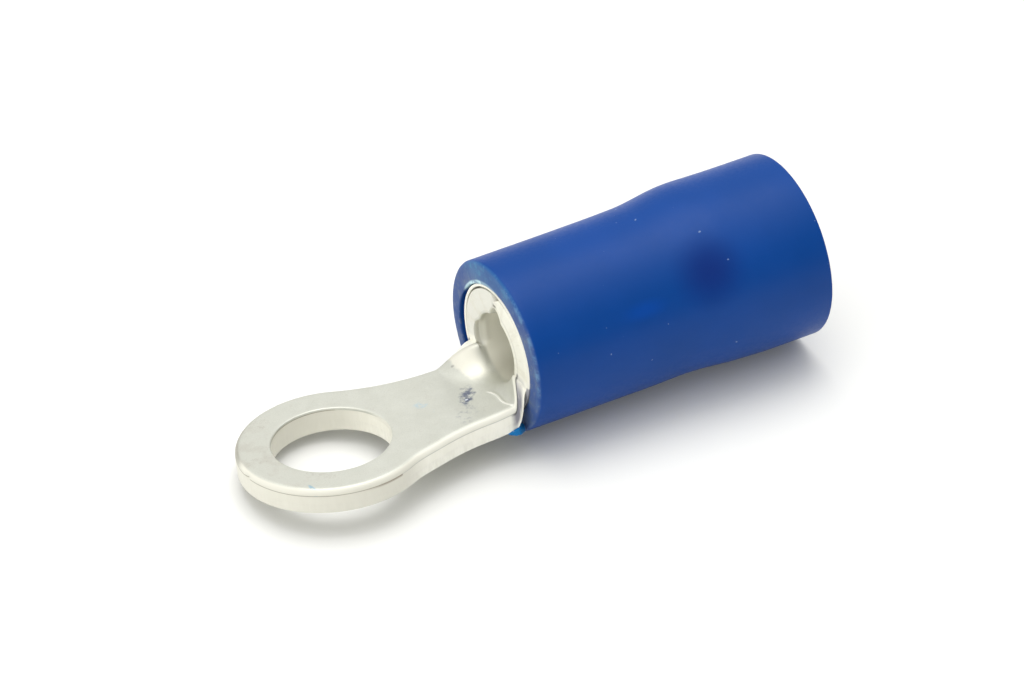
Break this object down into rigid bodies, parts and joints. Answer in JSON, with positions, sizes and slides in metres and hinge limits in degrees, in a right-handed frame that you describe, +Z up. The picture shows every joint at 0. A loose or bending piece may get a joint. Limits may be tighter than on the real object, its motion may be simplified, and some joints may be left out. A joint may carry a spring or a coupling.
{
  "type": "ring terminal",
  "caption": "Insulated crimp ring terminal: flat tinned ring and tongue rolled into a wire barrel, with a flared blue plastic sleeve over a thin metal support sleeve.",
  "frame": {"origin": "centre of the stud hole on the tongue's underside", "axes": "+X along the barrel to the wire entry, +Z up through the stud hole towards the barrel's side, +Y to the terminal's left"},
  "size_m": [0.0191, 0.0059, 0.0059],
  "materials": {
    "tin_plate": "matt electro-tinned copper, warm light grey",
    "tin_sleeve": "tinned thin brass, slightly brighter than the terminal",
    "blue_pvc": "satin blue soft plastic"
  },
  "bodies": {
    "root": {"terminal": "tin_plate", "support_sleeve": "tin_sleeve", "insulating_sleeve": "blue_pvc"}
  },
  "joints": []
}
